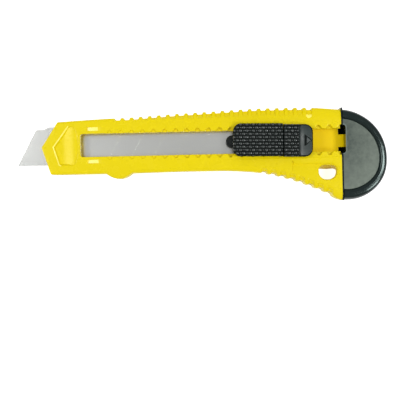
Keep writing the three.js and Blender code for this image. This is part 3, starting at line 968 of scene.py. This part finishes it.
# ---- slider -------------------------------------------------------------------------------
SLIDER_FRONT = THUMB_LOW[0]
SLIDER_REAR = LOCK_HIGH[0]
SLIDER_HALF = THUMB_HIGH[1]
SLIDER_BOTTOM = 11.4
SLIDER_TOP = THUMB_HIGH[2]
SPLIT = (THUMB_HIGH[0] + LOCK_LOW[0]) / 2
THUMB_SHIFT = 0.33  # the thumb plate sits a little towards +Y in its socket
TEXTURE_END = 49.2
WEAVE_PITCH = 2.985
WEAVE_ROW = 1.485


def bump(distance_x, distance_y, half_x, half_y):
    """Height from 0 to 1 of a rounded oval bump."""
    return np.clip(1 - (distance_x / half_x) ** 2 - (distance_y / half_y) ** 2, 0, None)


def weave(x, y):
    """Raised texture: oval bumps in staggered rows, with a small round one between neighbours."""
    row = np.round(y / WEAVE_ROW)
    dy = y - row * WEAVE_ROW
    phase = np.where(row % 2 == 0, 0.0, WEAVE_PITCH / 2)
    cell = (x - SLIDER_FRONT - 2.15 + phase) / WEAVE_PITCH
    dx = (cell - np.round(cell)) * WEAVE_PITCH
    between = (cell - np.floor(cell) - 0.5) * WEAVE_PITCH
    oval = bump(dx, dy, 0.98, 0.68)
    small = 0.7 * bump(between, dy, 0.48, 0.5)
    return np.maximum(oval, small)


def edge_distance(x, y):
    """Distance inwards from the slider's rounded plan outline."""
    corner = 3.6
    qx = np.abs(x - (SLIDER_FRONT + SLIDER_REAR) / 2) - (SLIDER_REAR - SLIDER_FRONT) / 2 + corner
    qy = np.abs(y) - SLIDER_HALF + corner
    return corner - np.hypot(np.maximum(qx, 0), np.maximum(qy, 0)) - np.minimum(np.maximum(qx, qy), 0)


def slider_height(x, y):
    """Upper surface of the slider over its plan."""
    crown = 0.35 * (np.abs(y) / SLIDER_HALF) ** 2.5
    front = 1.5 * np.clip(1 - (x - SLIDER_FRONT) / 3.2, 0, 1) ** 2
    base = SLIDER_TOP - 0.3 - crown - front
    bumps = 0.26 * weave(x, y) * (1 - smoothstep(TEXTURE_END - 0.15, TEXTURE_END + 0.05, x))
    past = np.clip(x - TEXTURE_END, 0, None)
    end = 0.3 * smoothstep(0, 0.25, past) - 0.62 * (1 - np.exp(-past / 1.6)) - 0.04 * past
    edge = 0.5 * (1 - np.clip(edge_distance(x, y) / 0.6, 0, 1)) ** 2
    split = 0.45 * np.clip(1 - np.abs(x - SPLIT) / 0.5, 0, 1)
    return base + bumps + end + arrow_relief(x, y) - edge - split


def arrow_relief(x, y):
    """Raised wedge-shaped triangle that points to the rear, steep on its front side."""
    left, right, half = 51.9, 55.25, 2.75
    across = half * (right - x) / (right - left) - np.abs(y)
    height = 0.62 - 0.14 * np.clip(x - left - 0.9, 0, None)
    return np.clip(np.minimum((x - left) * 0.7, across * 1.6), 0, height)


def slider_piece(name, x0, x1, plan):
    """Block with the slider's upper surface from x0 to x1, cut to the solid of a rounded plan."""
    step = 0.13
    xs = np.linspace(x0, x1, int((x1 - x0) / step) + 1)
    ys = np.linspace(-SLIDER_HALF - 0.5, SLIDER_HALF + 0.5, int((2 * SLIDER_HALF + 1) / step) + 1)
    grid_x, grid_y = np.meshgrid(xs, ys, indexing="ij")
    top = np.stack([grid_x, grid_y, slider_height(grid_x, grid_y)], -1).reshape(-1, 3)
    floor = top.copy()
    floor[:, 2] = SLIDER_BOTTOM
    rows, columns = len(xs), len(ys)
    faces = []
    for i in range(rows - 1):
        for j in range(columns - 1):
            a = i * columns + j
            b = a + columns
            faces.append((a, b, b + 1, a + 1))
    size = rows * columns
    rim = [
        *range(0, columns - 1),
        *[i * columns + columns - 1 for i in range(rows - 1)],
        *[(rows - 1) * columns + j for j in range(columns - 1, 0, -1)],
        *[i * columns for i in range(rows - 1, 0, -1)],
    ]
    for a, b in zip(rim, [*rim[1:], rim[0]]):
        faces.append((a, b, size + b, size + a))
    faces.append(tuple(size + i for i in rim))
    used = sorted({i for face in faces for i in face})
    index = {old: new for new, old in enumerate(used)}
    points = np.concatenate([top, floor])[used]
    piece = mesh_object(name, points, [tuple(index[i] for i in face) for face in faces])
    return boolean(facing_outwards(piece), plan, "INTERSECT")


def slider_plan(left, half, shift, edge):
    """Solid of the slider's rounded plan outline."""
    radii = (3.2, 3.6, 3.6, 3.6)
    outline = rounded_rectangle(left, SLIDER_REAR, -half, half, radii, 12)
    moved = [(x, y + shift) for x, y in outline]
    return rounded_prism("slider_plan", moved, SLIDER_BOTTOM, SLIDER_TOP, edge, 0.1)


def thumb_grip():
    plan = slider_plan(SLIDER_FRONT + 0.3, SLIDER_HALF + 0.08, THUMB_SHIFT, 0.55)
    thumb = slider_piece("thumb_grip", SLIDER_FRONT - 0.5, THUMB_HIGH[0], plan)
    foot = rounded_rectangle(25.95, 36.05, -2.65, 2.65, (0.4, 0.4, 0.4, 0.4), 3)
    add(thumb, rounded_prism("thumb_foot", foot, THUMB_LOW[2], SLIDER_BOTTOM + 0.6, 0, 0.2))
    return thumb


def lock_button():
    plan = slider_plan(SLIDER_FRONT, SLIDER_HALF, 0.0, 0.6)
    lock = slider_piece("lock_button", LOCK_LOW[0], SLIDER_REAR + 0.5, plan)
    wedge = [(43, -2.6), (47.4, -2.9), (49.6, -2.9), (49.6, 2.9), (47.4, 2.9), (43, 2.6)]
    add(lock, rounded_prism("lock_wedge", wedge, LOCK_LOW[2], SLIDER_BOTTOM + 0.6, 0, 0.15))
    return lock


def build_slider():
    halves = ((thumb_grip(), "thumb_plate", "carriage"), (lock_button(), "lock_slide", "lock"))
    for piece, node, body in halves:
        set_materials(piece, BLACK_SATIN, BLACK_PAINTED_SHADE, BLACK_PAINTED_HIGHLIGHT)
        for face in piece.data.polygons:
            x, y, _ = face.center / MM
            upwards = face.normal.z
            # painted shade: valleys, and faces that don't face up, take the blacker matt copy
            if x < TEXTURE_END:
                # painted highlight on the tops of the bumps
                face.material_index = 2 if upwards > 0.2 and float(weave(x, y)) > 0.48 else 1
            else:
                face.material_index = 0 if upwards > 0.96 else 1
        askew(piece)
        shade(piece, 40)
        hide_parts(node)
        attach(piece, body)


# ---- floor, light and camera --------------------------------------------------------------


def build_stage():
    """Pale, evenly lit table."""
    material, nodes, links, shader = new_material("white_sweep")
    shader.inputs["Base Color"].default_value = (0.85, 0.85, 0.85, 1.0)
    shader.inputs["Roughness"].default_value = 0.8
    shader.inputs["Specular IOR Level"].default_value = 0.0
    shader.inputs["Emission Color"].default_value = (1.0, 1.0, 1.0, 1.0)
    rays = nodes.new("ShaderNodeLightPath")
    glow = remap(nodes, links, rays.outputs["Is Camera Ray"], 0.0, 1.0, 0.1, 0.8)
    links.new(glow, shader.inputs["Emission Strength"])
    bpy.ops.mesh.primitive_plane_add(size=6.0, location=(0, 0, -0.0002))
    floor = bpy.context.object
    floor.name = "floor"
    floor.data.materials.append(material)


def area_light(name, place, target, size, power):
    data = bpy.data.lights.new(name, "AREA")
    data.shape = "RECTANGLE"
    data.size, data.size_y = size
    data.energy = power
    lamp = bpy.data.objects.new(name, data)
    lamp.location = place
    lamp.rotation_euler = (Vector(target) - Vector(place)).to_track_quat("-Z", "Y").to_euler()
    bpy.context.scene.collection.objects.link(lamp)


def build_lights():
    """A soft room, brighter above the blade, with a large softbox beyond the blade and two beyond the cap."""
    world = bpy.data.worlds.new("studio")
    bpy.context.scene.world = world
    world.use_nodes = True
    nodes, links = world.node_tree.nodes, world.node_tree.links
    place = nodes.new("ShaderNodeTexCoord")
    split = nodes.new("ShaderNodeSeparateXYZ")
    links.new(place.outputs["Generated"], split.inputs["Vector"])
    nodes["Background"].inputs["Color"].default_value = (1.0, 1.0, 1.0, 1.0)
    overhead = remap(nodes, links, split.outputs["Z"], 0.86, 0.98, 0.50, 0.42)
    patch = nodes.new("ShaderNodeMath")
    patch.operation = "MULTIPLY_ADD"
    links.new(remap(nodes, links, split.outputs["X"], -0.05, -0.20, 0.0, 0.27), patch.inputs[0])
    links.new(remap(nodes, links, split.outputs["Z"], 0.90, 0.97, 0.0, 1.0), patch.inputs[1])
    links.new(overhead, patch.inputs[2])
    links.new(patch.outputs["Value"], nodes["Background"].inputs["Strength"])
    area_light("left_softbox", (-0.56, 0.03, 0.83), (0, 0, 0), (0.36, 0.36), 2.75)
    area_light("right_softbox", (0.50, -0.01, 0.87), (0.02, 0, 0), (0.17, 0.24), 2.2)
    area_light("lower_softbox", (0.50, -0.27, 0.82), (0.04, 0, 0), (0.13, 0.18), 1.4)


def build_camera():
    data = bpy.data.cameras.new("camera")
    data.sensor_width = 36.0
    data.lens = 81.24
    data.clip_start = 0.01
    camera = bpy.data.objects.new("camera", data)
    camera.location = (0.0031, -0.02655, 0.430)
    camera.rotation_euler = (0, 0, math.radians(-1.33))
    bpy.context.scene.collection.objects.link(camera)
    bpy.context.scene.camera = camera


build_handle()
build_cap()
build_blade()
build_carrier()
build_slider()
build_stage()
build_lights()
build_camera()
bpy.context.scene.view_settings.view_transform = "Standard"
